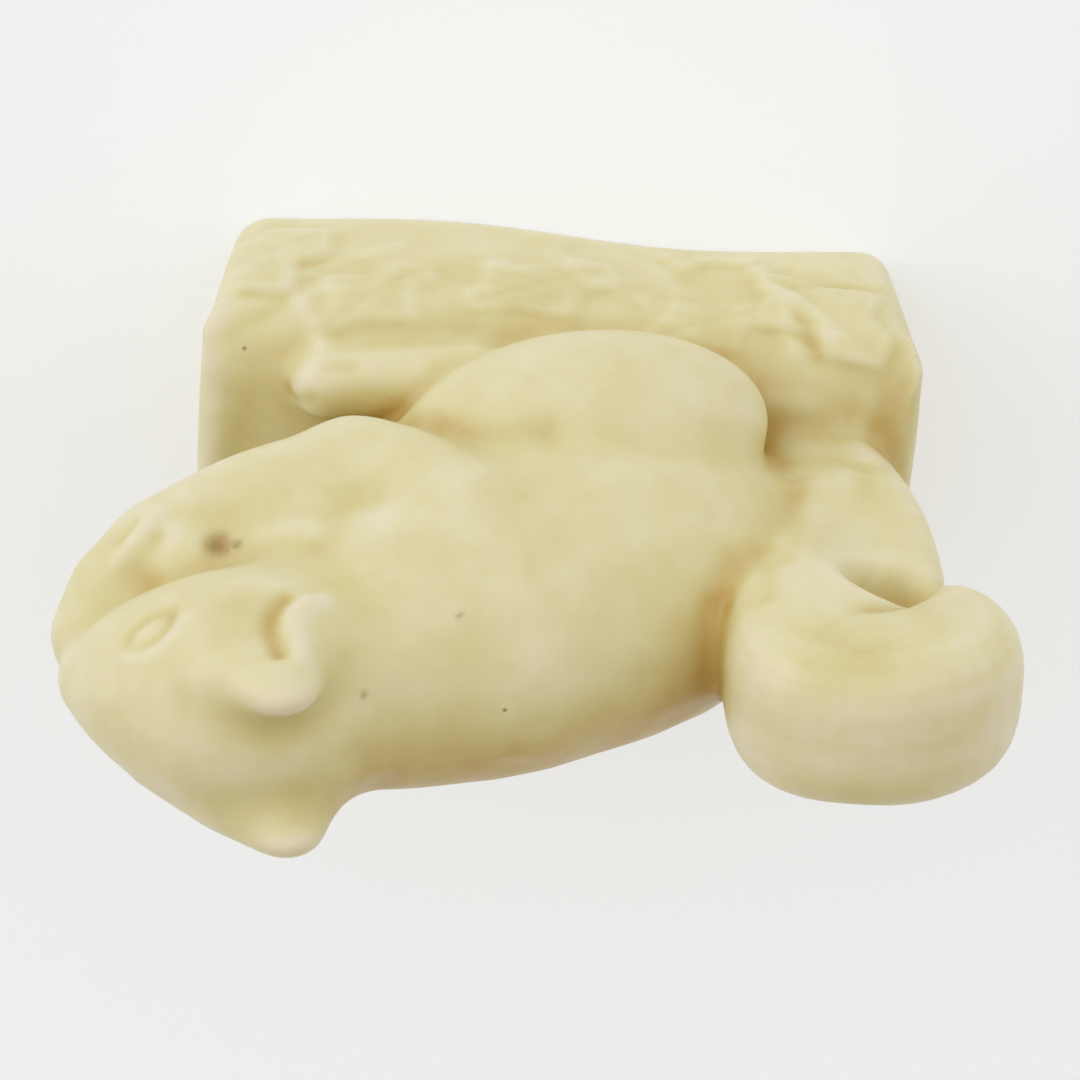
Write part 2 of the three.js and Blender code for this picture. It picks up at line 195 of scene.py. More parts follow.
# Marks on the log's sides, in the part's own frame
LOG_MARKS = [
    [[[49.5, 21.4, 31.2], [47.6, 22.4, 29.9], [44.7, 23.3, 28.5], [41.7, 23.9, 27.3],
      [39.3, 24.5, 25.7], [38.2, 24.7, 21.1], [35.6, 24.9, 19.8], [32.1, 25.2, 16.6],
      [28.0, 25.5, 12.7], [25.2, 25.7, 10.4]], 1.8, 0.33],
    [[[48.6, 19.5, 33.0], [45.5, 21.4, 31.4], [42.0, 22.7, 29.9], [40.2, 23.8, 27.9],
      [37.6, 24.7, 22.6], [34.1, 25.0, 18.9], [30.5, 25.3, 15.6]], 1.9, -0.33],
    [[[38.0, 24.0, 27.8], [36.0, 22.3, 31.0], [34.1, 20.5, 34.2]], 1.6, 0.59],
    [[[25.6, 25.9, 17.7], [27.0, 26.0, 25.2], [28.5, 24.7, 29.2]], 2.2, 0.26],
    [[[20.9, 25.3, 27.6], [18.9, 22.4, 32.6]], 3.0, 0.26],
    [[[10.6, 26.2, 14.9], [7.0, 26.1, 16.7], [3.2, 25.3, 11.4], [1.0, 25.1, 2.7]], 1.9, 0.33],
    [[[-0.2, 25.0, 8.9], [-1.8, 25.4, 15.3], [-4.7, 25.1, 17.5], [-8.1, 24.4, 13.9]], 2.0, 0.33],
    [[[-13.8, 24.1, 8.9], [-16.1, 24.1, 17.1]], 2.2, 0.26],
    [[[-10.5, 24.3, 19.9], [-13.9, 24.4, 24.7], [-17.3, 23.5, 29.0]], 2.3, 0.26],
    [[[-28.0, 24.5, 7.1], [-29.5, 25.6, 15.2], [-32.1, 25.8, 18.4], [-34.0, 26.0, 21.4],
      [-35.8, 25.9, 26.1], [-37.0, 25.1, 29.0]], 1.8, 0.52],
    [[[-31.8, 25.8, 19.0], [-30.8, 25.5, 26.0], [-32.0, 22.9, 30.2]], 1.9, 0.52],
    [[[-33.1, 25.9, 24.7], [-35.0, 23.8, 29.7], [-35.5, 22.0, 31.6]], 1.6, -0.45],
    [[[-33.8, 25.9, 15.2], [-39.9, 25.5, 13.4], [-45.7, 25.6, 13.7]], 1.8, -0.33],
    [[[-32.4, 24.8, 7.2]], 2.2, -0.39],
    [[[-39.8, 24.5, 30.5]], 3.0, 0.33],
    [[[-46.7, 18.3, 34.4]], 4.7, -0.78],
    [[[-42.9, 18.0, 34.5], [-42.4, 15.1, 35.1]], 1.8, 0.33],
    [[[50.8, 24.2, 19.0], [50.4, 23.2, 27.0], [49.6, 20.7, 31.9], [49.7, 13.5, 34.1],
      [49.6, 0.0, 35.4]], 3.0, 0.39],
    [[[44.0, 16.9, 34.4], [44.0, 0.0, 35.2]], 4.1, -0.39],
]


# Helpers for forms. Each form is a distance: below zero inside, and in millimetres.
def length(v):
    return np.sqrt((v * v).sum(axis=-1))


def ramp(t):
    """From 0 to 1 and level at both ends."""
    held = np.clip(t, 0, 1)
    return held * held * (3 - 2 * held)


def place(x, y, z):
    """A place on the squirrel, with z from the top of the log."""
    return np.array([x, y, LOG_HEIGHT + z], float)


def smooth_path(stations, steps):
    """A smooth line through rows of numbers, as steps + 1 rows."""
    rows = np.array(stations, float)
    rows = np.vstack([rows[:1], rows, rows[-1:]])
    at = np.linspace(0, len(stations) - 1, steps + 1)
    first = np.minimum(at.astype(int), len(stations) - 2)
    t = (at - first)[:, None]
    a, b, c, d = (rows[first + k] for k in range(4))
    return 0.5 * (
        2 * b + (c - a) * t + (2 * a - 5 * b + 4 * c - d) * t**2 + (3 * b - a - 3 * c + d) * t**3
    )


def egg(p, centre, radii, pitch=0, yaw=0):
    """An egg leaning nose-down by pitch and turned left by yaw, in degrees."""
    lean = Matrix.Rotation(radians(yaw), 3, "Z") @ Matrix.Rotation(radians(pitch), 3, "Y")
    q = (p - place(*centre)) @ np.array(lean) / radii
    k = length(q)
    return k * (k - 1) / np.maximum(length(q / radii), 1e-9)


def limb(p, stations, steps=14):
    """A round limb along a smooth path of x, y, z and radius."""
    path = smooth_path(stations, steps)
    path[:, 2] += LOG_HEIGHT
    nearest = np.full(len(p), np.inf)
    for start, end in zip(path[:-1], path[1:]):
        along = end[:3] - start[:3]
        t = np.clip((p - start[:3]) @ along / (along @ along), 0, 1)
        out = length(p - start[:3] - t[:, None] * along) - start[3] - (end[3] - start[3]) * t
        nearest = np.minimum(nearest, out)
    return nearest


def brush(p, stations, steps=48):
    """The tail, with how far along and how far round it each point lies, in millimetres."""
    path = smooth_path(stations, steps)
    path[:, 1] += LOG_HEIGHT
    nearest = np.full(len(p), np.inf)
    along = np.zeros(len(p))
    around = np.zeros(len(p))
    done = 0.0
    for start, end in zip(path[:-1], path[1:]):
        run = end[:2] - start[:2]
        off = p[:, [0, 2]] - start[:2]
        t = np.clip(off @ run / (run @ run), 0, 1)
        thick, width = (start[2:] + (end - start)[2:] * t[:, None]).T
        out = length(off - t[:, None] * run) / thick
        across = np.abs(p[:, 1] / width)
        k = (out**BRUSH_SQUARE + across**BRUSH_SQUARE) ** (1 / BRUSH_SQUARE)
        value = (k - 1) * np.minimum(thick, width)
        side = np.sign(run[0] * off[:, 1] - run[1] * off[:, 0])
        closer = value < nearest
        nearest[closer] = value[closer]
        step = np.hypot(*run)
        along[closer] = (done + t * step)[closer]
        around[closer] = (TAIL_RADIUS * np.arctan2(p[:, 1] / width, out * side))[closer]
        done += step
    return nearest, along, around


def blend(a, b, fillet):
    """Joins two forms with a fillet of about the given size."""
    h = np.maximum(fillet - np.abs(a - b), 0) / fillet
    return np.minimum(a, b) - h * h * fillet / 4


def joined(form, *others):
    """Blends other forms on to the first in turn, each given with its fillet."""
    for other, fillet in others:
        form = blend(form, other, fillet)
    return form


def scoop(a, b, fillet):
    """Takes b out of a, with the edge rounded."""
    return -blend(-a, b, fillet)


def eased(a, b, radius):
    """Rounds the edge where two faces meet."""
    return np.hypot(np.maximum(a + radius, 0), np.maximum(b + radius, 0)) - radius


# The forms of the piece
def block(p):
    """The log without its leaves."""
    across = np.minimum(np.abs(p[:, 1]) / (LOG_WIDTH / 2), 1)
    below = np.clip(1 - p[:, 2] / LOG_HEIGHT, 0, 1)
    wander = LOG_WAVE * np.sin(LOG_WAVES * 2 * pi * p[:, 0] / LOG_LENGTH)
    x = np.abs(p[:, 0]) - LOG_LENGTH / 2 + LOG_SWELL * across**2 + LOG_FLARE * below
    y = np.abs(p[:, 1]) - LOG_WIDTH / 2 - wander
    z = p[:, 2] - LOG_HEIGHT
    return np.maximum(
        np.maximum(eased(x, y, LOG_CORNER), eased(y, z, LOG_SHOULDER)), eased(x, z, LOG_END_EDGE)
    )


def leaf_relief(x, s, vein):
    """How far the leaves stand out at x forward and s down from the log's shoulder."""
    rise = np.zeros(len(x))
    for fore, down, way, long, share in LEAVES:
        dx = x - fore * LOG_LENGTH
        ds = s - down * LOG_HEIGHT
        u = (dx * cos(radians(way)) + ds * sin(radians(way))) / long
        v = ds * cos(radians(way)) - dx * sin(radians(way))
        on = (u > 0) & (u < 1)
        held = np.clip(u, 0, 1)
        lobes = 1 + LEAF_NOTCH * np.cos(2 * pi * (LEAF_LOBES - 0.5) * held)
        half = LEAF_WIDTH * long * np.sin(pi * held**LEAF_SHAPE) * lobes / 2
        here = LEAF_RISE * share * ramp((half - np.abs(v)) / LEAF_EDGE)
        # A middle vein, and one from it to each lobe
        along = (held * long + np.abs(v) * VEIN_LEAN) / VEIN_SPACING
        side = (0.5 - np.abs(along % 1 - 0.5)) * VEIN_SPACING
        groove = np.maximum(ramp(1 - np.abs(v) / MIDDLE_VEIN), 0.7 * ramp(1 - side / SIDE_VEIN))
        here = here - vein * groove * ramp((half - np.abs(v)) / 1.5)
        rise = np.where(on, np.maximum(rise, here), rise)
    return rise


def log(p, vein):
    """The log with its leaves, which fade out on its top, at its foot and at its ends."""
    aside = ramp((np.abs(p[:, 1]) / (LOG_WIDTH / 2) - LEAF_START) / (1 - LEAF_START))
    s = np.abs(p[:, 1]) - LOG_WIDTH / 2 + LOG_HEIGHT - p[:, 2]
    inner = ramp((LOG_LENGTH / 2 - np.abs(p[:, 0])) / LEAF_END) * ramp(p[:, 2] / LEAF_FOOT)
    return block(p) - aside * inner * leaf_relief(p[:, 0], s, vein)


def squirrel_frame(p):
    """Points of the part in the squirrel's own frame."""
    turn = radians(SQUIRREL_TURN)
    x, y, z = p.T
    return np.stack([x * cos(turn) + y * sin(turn), y * cos(turn) - x * sin(turn), z], axis=1)


def squirrel(p):
    """The squirrel without its tail, and its tail, from points in its own frame."""
    left = p * [1, 0, 1] + np.abs(p) * [0, 1, 0]
    rump = egg(p, (-11, 0, 18), [22.5, 20, 27], -10)
    back = egg(p, (3, 0, 28.5), [21, 19.5, 29], 12)
    shoulders = egg(p, (17, 0, 36.5), [17, 17.5, 19.5], 25)
    belly = egg(p, (16, 0, 14), [18, 17, 18])
    neck = egg(p, (27, 0, 47), [15, 14, 13.5], 10)
    throat = egg(p, (32, 0, 35), [15, 16.5, 13], -15)
    thigh = egg(left, (-4, 14.8, 10), [25.5, 13.5, 16.5], -8, -3)
    foot = limb(left, [[12, 18, 2, 6], [22, 18.5, 1.5, 5], [32, 18, 1, 4.7]])
    upper_arm = limb(left, [[12, 13, 34, 9], [20, 15, 25, 7.8], [27, 14.2, 20.5, 6.9]])
    fore_arm = limb(left, [[27, 14.2, 20.5, 6.9], [40, 13.2, 26, 6.6], [52, 9.3, 31.7, 6.5]])
    armpit = egg(left, (31, 12.3, 29), [13, 6.8, 7.5], -20)
    fore_arm_fill = egg(left, (43, 10.2, 35), [10, 4.6, 5.6], -22)
    paw = egg(left, (56, 6, 34), [6.9, 6, 6.3], -20)
    arm = joined(upper_arm, (fore_arm, 4), (armpit, 4), (fore_arm_fill, 3), (paw, 3))
    body = joined(rump, (back, 12), (shoulders, 12), (belly, 8), (neck, 10), (throat, 5))
    body = joined(body, (thigh, 3), (foot, 2), (arm, 3.2))

    skull = egg(p, (37, 0, 53), [17, 15.5, 14.5], 8)
    muzzle = limb(p, [[40, 0, 52.5, 13.5], [50, 0, 50, 11], [57, 0, 48.6, 6.5]])
    by_ear = left - (p[:, 1:2] < 0) * RIGHT_EAR
    ear_base = egg(by_ear, (37, 10.2, 57.5), [9, 5.2, 9.5], -12)
    ear_tip = egg(by_ear, (33.8, 10.8, 65), [5, 3.3, 6.2], -20)
    ear_hollow = egg(by_ear, (37.2, 18, 60.5), [6.5, 3.1, 6.8], -20)
    head = joined(skull, (muzzle, 8), (blend(ear_base, ear_tip, 4), 4))
    nut = egg(p, (57, 0, 38), [9, 8, 9])
    body = joined(body, (scoop(head, ear_hollow, 3), 4), (nut, 4))

    tail, along, around = brush(p, TAIL)
    tail = scoop(tail, egg(left, (-43, 18.5, 31.5), [8.5, 9.5, 13.5], -8), 7)
    tail = scoop(tail, egg(left, (-43, 15, 39.8), [6, 13, 5.5], -15), 3)
    return body, tail, along, around


def casting(p, vein):
    """The whole piece, with its flat underside."""
    own = squirrel_frame(p)
    body, tail, *_ = squirrel(own)
    whole = blend(blend(body, tail, 3), log(p, vein), 3.5)
    return eased(whole, -p[:, 2], 0.8)


def mark(p, points, half, height):
    """A ridge, groove or spot along a smooth line."""
    line = np.array(points, float)
    if len(line) > 1:
        line = smooth_path(line, 6 * (len(line) - 1))
    middle = line.mean(axis=0)
    near = np.abs(p - middle).max(axis=1) < length(line - middle).max() + 2 * half
    q = p[near]
    away = length(q - line[0])
    for start, end in zip(line[:-1], line[1:]):
        along = end - start
        t = np.clip((q - start) @ along / (along @ along), 0, 1)
        away = np.minimum(away, length(q - start - t[:, None] * along))
    rise = np.zeros(len(p))
    rise[near] = height * np.exp(-((away / half) ** 2) * MARK_FADE)
    return rise


def relief(p, eye_depth, mark_share):
    """How far the small marks raise or sink the surface, in millimetres."""
    own = squirrel_frame(p)
    left = own * [1, 0, 1] + np.abs(own) * [0, 1, 0]
    turns = np.linspace(0, 2 * pi, 13)
    centre, long, short = (np.array(v) for v in (EYE, EYE_LONG, EYE_SHORT))
    ring = [centre + long * cos(t) + short * sin(t) for t in turns]
    rise = mark(left, ring, 0.95, -eye_depth)
    rise += mark(left, [centre - long * 0.3, centre + long * 0.3], 1.5, 0.6 * eye_depth)
    for points, half, height in MARKS:
        rise += mark(left, points, half, height * mark_share)
    rise += mark(own, *PIT)
    side = p * [1, 0, 1] + np.abs(p) * [0, 1, 0]
    for points, half, height in LOG_MARKS:
        rise += mark(side, points, half, LOG_MARK_SHARE * height * mark_share)
    return rise


# Helpers for meshes and node trees
def add(tree, kind, settings=None, inputs=None):
    """Adds a node with its own settings, and its inputs as values or as other nodes' sockets."""
    node = tree.nodes.new(kind)
    for name, value in (settings or {}).items():
        setattr(node, name, value)
    for name, value in (inputs or {}).items():
        if isinstance(value, bpy.types.NodeSocket):
            tree.links.new(value, node.inputs[name])
        else:
            node.inputs[name].default_value = value
    return node


def linear(code):
    """An sRGB hex colour as linear red, green, blue and alpha."""
    parts = [int(code[i : i + 2], 16) / 255 for i in (1, 3, 5)]
    return [c / 12.92 if c <= 0.04045 else ((c + 0.055) / 1.055) ** 2.4 for c in parts] + [1.0]


def link(name, data):
    """A new object in the scene."""
    made = bpy.data.objects.new(name, data)
    bpy.context.scene.collection.objects.link(made)
    return made


def applied(thing):
    """Turns an object and its modifiers into a plain mesh."""
    seen = thing.evaluated_get(bpy.context.evaluated_depsgraph_get())
    mesh = bpy.data.meshes.new_from_object(seen)
    old = thing.data
    thing.modifiers.clear()
    thing.data = mesh
    bpy.data.meshes.remove(old)
    return mesh


def points_of(mesh):
    """A mesh's points, in millimetres."""
    flat = np.empty(3 * len(mesh.vertices), np.float32)
    mesh.vertices.foreach_get("co", flat)
    return flat.reshape(-1, 3).astype(float) / MM


def put_points(mesh, points):
    """Moves a mesh's points to places in millimetres."""
    mesh.vertices.foreach_set("co", (points * MM).astype(np.float32).ravel())
    mesh.update()


def normals_of(mesh):
    """The way that the surface faces at each point."""
    flat = np.empty(3 * len(mesh.vertices), np.float32)
    mesh.vertex_normals.foreach_get("vector", flat)
    return flat.reshape(-1, 3).astype(float)


def neighbour_means(mesh, values, rounds):
    """Each point's value drawn halfway to the mean of its neighbours, so many times."""
    edges = np.empty(2 * len(mesh.edges), np.int32)
    mesh.edges.foreach_get("vertices", edges)
    a, b = edges.reshape(-1, 2).T
    ends = np.concatenate([a, b])
    others = np.concatenate([b, a])
    count = np.maximum(np.bincount(ends, minlength=len(values)), 1)
    for _ in range(rounds):
        columns = [
            np.bincount(ends, weights=column[others], minlength=len(values)) / count
            for column in values.T
        ]
        values = 0.5 * values + 0.5 * np.stack(columns, axis=1)
    return values


# What a user would change
class SquirrelSizes(bpy.types.PropertyGroup):
    cell: FloatProperty(
        name="Cell", description="Size of the faces that the surface is cut into",
        default=0.78 * MM, unit="LENGTH",
    )
    eye: FloatProperty(
        name="Eye", description="Depth of the groove round each eye",
        default=0.28 * MM, unit="LENGTH",
    )
    vein: FloatProperty(
        name="Veins", description="Depth of the veins in the leaves",
        default=0.15 * MM, unit="LENGTH",
    )
    marks: FloatProperty(
        name="Marks", description="Strength of the tooled marks, where 1 is as drawn",
        default=1.0, min=0, subtype="FACTOR",
    )
    fur_depth: FloatProperty(
        name="Fur depth", description="Depth of the brushed grooves on the tail",
        default=0.15 * MM, unit="LENGTH",
    )
    fur_spacing: FloatProperty(
        name="Fur spacing", description="Distance between the grooves on the tail",
        default=2.6 * MM, unit="LENGTH",
    )
    fur_length: FloatProperty(
        name="Fur length", description="How far a groove runs along the tail",
        default=16 * MM, unit="LENGTH",
    )
    dent_depth: FloatProperty(
        name="Dent depth", description="Depth of the soft dents that fettling leaves",
        default=0.25 * MM, unit="LENGTH",
    )
    dent_size: FloatProperty(
        name="Dent size", description="How far each dent reaches", default=4 * MM, unit="LENGTH",
    )
    dent_spacing: FloatProperty(
        name="Dent spacing", description="Least distance between dents",
        default=7 * MM, unit="LENGTH",
    )
    seed: IntProperty(name="Seed", description="Changes where grooves and dents fall", default=3)


class GlazeColours(bpy.types.PropertyGroup):
    raised: FloatVectorProperty(
        name="Raised", description="Thin glaze on high places", subtype="COLOR", size=4,
        default=linear("#E4DBB0"), min=0, max=1,
    )
    thin: FloatVectorProperty(
        name="Thin", description="Thinnest glaze, on edges, with the body showing through it",
        subtype="COLOR", size=4, default=linear("#E9DFBF"), min=0, max=1,
    )
    level: FloatVectorProperty(
        name="Level", description="Glaze on open places", subtype="COLOR", size=4,
        default=linear("#DBCF96"), min=0, max=1,
    )
    # The thick glaze colour, also laid over the top and left of the back as painted shade
    pooled_and_shading: FloatVectorProperty(
        name="Pooled", description="Thick glaze in hollows", subtype="COLOR", size=4,
        default=linear("#C8A75A"), min=0, max=1,
    )
    pinhole: FloatVectorProperty(
        name="Pinhole", description="Body seen through a hole in the glaze", subtype="COLOR",
        size=4, default=linear("#8A6F48"), min=0, max=1,
    )
    body: FloatVectorProperty(
        name="Body", description="Bare earthenware underneath", subtype="COLOR", size=4,
        default=linear("#D9CDB4"), min=0, max=1,
    )


class StudioSettings(bpy.types.PropertyGroup):
    floor: FloatVectorProperty(
        name="Floor", description="Colour of the floor", subtype="COLOR", size=4,
        default=linear("#DCE0E6"), min=0, max=1,
    )
    glow: FloatProperty(
        name="Glow", description="Light that the floor gives off, which keeps shadows faint",
        default=0.33, min=0,
    )
    near_sky: FloatVectorProperty(
        name="Near side", description="Even light from the squirrel's right", subtype="COLOR",
        size=4, default=(0.92, 0.92, 0.92, 1.0), min=0, max=2,
    )
    far_sky: FloatVectorProperty(
        name="Far side", description="Dimmer, warmer light from the squirrel's left and above",
        subtype="COLOR", size=4, default=(0.36, 0.29, 0.17, 1.0), min=0, max=2,
    )
    lamp: FloatProperty(name="Lamp", description="Strength of the soft lamp", default=0.5, min=0)


# Materials
def glaze_material(colours):
    """Pale yellow satin lead glaze on a poured earthenware body.

    It is thin and pale on high places and runs yellow to golden in hollows. The same golden is laid
    over the top and left of the back as painted shade, and it is kept paler under the arms as
    painted light. Brushing leaves soft streaks and clouds, and a few pinholes go through to the
    body.
    """
    material = bpy.data.materials.new("Satin glaze on earthenware")
    material.use_nodes = True
    tree = material.node_tree
    tree.nodes.clear()
    spot = add(tree, "ShaderNodeTexCoord").outputs["Object"]

    def read(name):
        return add(tree, "ShaderNodeAttribute", {"attribute_name": name}).outputs["Fac"]

    def maths(operation, a, b):
        return add(tree, "ShaderNodeMath", {"operation": operation}, {0: a, 1: b}).outputs[0]

    # Clouds 8 mm across, and brush streaks 2.5 mm apart that run 20 mm along the tail
    clouds = add(
        tree, "ShaderNodeTexNoise", {},
        {"Vector": spot, "Scale": 125, "Detail": 3, "Roughness": 0.55},
    ).outputs["Fac"]
    fine = add(
        tree, "ShaderNodeTexNoise", {}, {"Vector": spot, "Scale": 900, "Detail": 2}
    ).outputs["Fac"]
    tail_place = add(
        tree, "ShaderNodeCombineXYZ", {},
        {"X": maths("MULTIPLY", read("along"), 0.05), "Y": maths("MULTIPLY", read("around"), 0.4)},
    ).outputs[0]
    streaks = add(
        tree, "ShaderNodeTexNoise", {},
        {"Vector": tail_place, "Scale": 1, "Detail": 2, "Roughness": 0.5},
    ).outputs["Fac"]
    streaked = maths("MULTIPLY", maths("SUBTRACT", streaks, 0.5), read("tail"))
    level = maths("ADD", read("pooled_and_shading"), maths("MULTIPLY", maths("SUBTRACT", clouds, 0.5), 0.6))
    level = maths("ADD", level, maths("MULTIPLY", streaked, 0.3))
    colour = add(tree, "ShaderNodeValToRGB", {}, {"Fac": level})
    bands = colour.color_ramp.elements
    bands[0].position, bands[0].color = 0.0, colours.thin
    bands[1].position, bands[1].color = 0.95, colours.pooled_and_shading
    bands.new(0.14).color = colours.raised
    bands.new(0.4).color = colours.level

    # Pinholes about 0.5 mm across, in cells about 9 mm wide, of which four in five have none
    cells = add(tree, "ShaderNodeTexVoronoi", {"feature": "F1"}, {"Vector": spot, "Scale": 110})
    hole = add(
        tree, "ShaderNodeMapRange", {"interpolation_type": "SMOOTHSTEP"},
        {"Value": cells.outputs["Distance"], "From Min": 0.045, "From Max": 0.015},
    ).outputs[0]
    chosen = maths("GREATER_THAN", cells.outputs["Color"], 0.8)
    hole = maths("MULTIPLY", hole, chosen)
    painted = add(
        tree, "ShaderNodeMix", {"data_type": "RGBA"},
        {0: maths("MULTIPLY", hole, 0.7), 6: colour.outputs["Color"], 7: colours.pinhole},
    ).outputs[2]
    # The few larger pits, with ragged edges
    ragged = maths("MULTIPLY", read("bare"), maths("ADD", fine, 0.45))
    painted = add(
        tree, "ShaderNodeMix", {"data_type": "RGBA"},
        {0: maths("MULTIPLY", ragged, 0.6), 6: painted, 7: colours.pinhole},
    ).outputs[2]

    # The satin varies in patches of about 5 mm, and the surface ripples over about 2 mm
    patches = add(
        tree, "ShaderNodeTexNoise", {}, {"Vector": spot, "Scale": 200, "Detail": 2}
    ).outputs["Fac"]
    rough = add(
        tree, "ShaderNodeMapRange", {}, {"Value": patches, "To Min": 0.3, "To Max": 0.46}
    ).outputs[0]
    ripple = add(
        tree, "ShaderNodeTexNoise", {}, {"Vector": spot, "Scale": 450, "Detail": 2}
    ).outputs["Fac"]
    height = maths("SUBTRACT", maths("MULTIPLY", ripple, 0.12), maths("MULTIPLY", hole, 0.3))
    bump = add(
        tree, "ShaderNodeBump", {}, {"Height": height, "Strength": 0.6, "Distance": 0.0006}
    ).outputs[0]
    shader = add(
        tree, "ShaderNodeBsdfPrincipled", {},
        {
            "Base Color": painted, "Roughness": rough, "Normal": bump, "IOR": 1.5,
            "Subsurface Weight": 0.12, "Subsurface Radius": (1.0, 0.7, 0.35),
            "Subsurface Scale": 0.0015,
        },
    )
    add(tree, "ShaderNodeOutputMaterial", {}, {"Surface": shader.outputs[0]})
    return material


def body_material(colours):
    """Bare cream earthenware on the underside, wiped clean of glaze, matt and fine-grained."""
    material = bpy.data.materials.new("Unglazed earthenware")
    material.use_nodes = True
    tree = material.node_tree
    tree.nodes.clear()
    spot = add(tree, "ShaderNodeTexCoord").outputs["Object"]
    # Grain drawn about 0.8 mm across, coarser than the real clay so that it shows
    grain = add(
        tree, "ShaderNodeTexNoise", {}, {"Vector": spot, "Scale": 1200, "Detail": 3}
    ).outputs["Fac"]
    tint = add(tree, "ShaderNodeValToRGB", {}, {"Fac": grain})
    bands = tint.color_ramp.elements
    bands[0].position, bands[0].color = 0.3, [0.8 * c for c in colours.body[:3]] + [1]
    bands[1].position, bands[1].color = 0.7, colours.body
    rough = add(
        tree, "ShaderNodeMapRange", {}, {"Value": grain, "To Min": 0.8, "To Max": 0.95}
    ).outputs[0]
    bump = add(
        tree, "ShaderNodeBump", {}, {"Height": grain, "Strength": 0.4, "Distance": 0.0002}
    ).outputs[0]
    shader = add(
        tree, "ShaderNodeBsdfPrincipled", {},
        {"Base Color": tint.outputs["Color"], "Roughness": rough, "Normal": bump, "IOR": 1.5},
    )
    add(tree, "ShaderNodeOutputMaterial", {}, {"Surface": shader.outputs[0]})
    return material


def brushing_tree():
    """Brushes grooves along the tail, presses soft dents into the rest, and sets the materials."""
    tree = bpy.data.node_groups.new("Brushing and dents", "GeometryNodeTree")
    tree.is_modifier = True
    face = tree.interface
    face.new_socket("Geometry", in_out="OUTPUT", socket_type="NodeSocketGeometry")
    face.new_socket("Geometry", in_out="INPUT", socket_type="NodeSocketGeometry")
    for name in ("Groove depth", "Groove spacing", "Groove length", "Dent depth", "Dent size",
                 "Dent spacing"):
        face.new_socket(name, in_out="INPUT", socket_type="NodeSocketFloat")
    face.new_socket("Seed", in_out="INPUT", socket_type="NodeSocketInt")
    for name in ("Glaze", "Body"):
        face.new_socket(name, in_out="INPUT", socket_type="NodeSocketMaterial")
    given = add(tree, "NodeGroupInput").outputs

    def maths(operation, a, b):
        return add(tree, "ShaderNodeMath", {"operation": operation}, {0: a, 1: b}).outputs[0]

    def read(name):
        node = add(tree, "GeometryNodeInputNamedAttribute", {"data_type": "FLOAT"}, {"Name": name})
        return node.outputs["Attribute"]

    def shifted(geometry, amount):
        out = add(
            tree, "ShaderNodeVectorMath", {"operation": "SCALE"},
            {0: add(tree, "GeometryNodeInputNormal").outputs[0], "Scale": amount},
        ).outputs[0]
        node = add(tree, "GeometryNodeSetPosition", {}, {"Geometry": geometry, "Offset": out})
        return node.outputs[0]

    # The tail's places are in millimetres, and the inputs in metres
    along = maths("DIVIDE", maths("MULTIPLY", read("along"), MM), given["Groove length"])
    around = maths("DIVIDE", maths("MULTIPLY", read("around"), MM), given["Groove spacing"])
    lane = add(
        tree, "ShaderNodeCombineXYZ", {}, {"X": along, "Y": around, "Z": given["Seed"]}
    ).outputs[0]
    groove = add(
        tree, "ShaderNodeTexNoise", {}, {"Vector": lane, "Scale": 1, "Detail": 1}
    ).outputs["Fac"]
    groove = maths("MULTIPLY", maths("SUBTRACT", groove, 0.5), given["Groove depth"])
    groove = maths("MULTIPLY", maths("MULTIPLY", groove, read("tail")), 2)
    brushed = shifted(given["Geometry"], groove)

    spots = add(
        tree, "GeometryNodeDistributePointsOnFaces", {"distribute_method": "POISSON"},
        {
            "Mesh": brushed, "Distance Min": given["Dent spacing"], "Density Max": 9000.0,
            "Seed": given["Seed"],
        },
    ).outputs["Points"]
    away = add(
        tree, "GeometryNodeProximity", {"target_element": "POINTS"}, {"Geometry": spots}
    ).outputs["Distance"]
    dent = add(
        tree, "ShaderNodeMapRange", {"interpolation_type": "SMOOTHSTEP"},
        {
            "Value": away, "From Min": 0.0, "From Max": given["Dent size"], "To Min": 1.0,
            "To Max": 0.0,
        },
    ).outputs[0]
    soft = maths("MULTIPLY", maths("MULTIPLY", dent, given["Dent depth"]), -1.0)
    dented = shifted(brushed, maths("MULTIPLY", soft, read("open")))

    real = add(tree, "GeometryNodeRealizeInstances", {}, {"Geometry": dented}).outputs[0]
    glazed = add(
        tree, "GeometryNodeSetMaterial", {}, {"Geometry": real, "Material": given["Glaze"]}
    ).outputs[0]
    facing = add(
        tree, "ShaderNodeSeparateXYZ", {}, {0: add(tree, "GeometryNodeInputNormal").outputs[0]}
    ).outputs["Z"]
    height = add(
        tree, "ShaderNodeSeparateXYZ", {}, {0: add(tree, "GeometryNodeInputPosition").outputs[0]}
    ).outputs["Z"]
    # The underside is what faces down within half a millimetre of the ground.
    under = maths("MULTIPLY", maths("LESS_THAN", facing, -0.9), maths("LESS_THAN", height, 0.0005))
    done = add(
        tree, "GeometryNodeSetMaterial", {},
        {"Geometry": glazed, "Selection": under, "Material": given["Body"]},
    ).outputs[0]
    add(tree, "NodeGroupOutput", {}, {"Geometry": done})
    return tree


def use_tree(thing, tree, values):
    """Adds a node tree as a modifier with its inputs set."""
    modifier = thing.modifiers.new(tree.name, "NODES")
    modifier.node_group = tree
    for item in tree.interface.items_tree:
        if item.item_type == "SOCKET" and item.in_out == "INPUT" and item.name in values:
            modifier[item.identifier] = values[item.name]


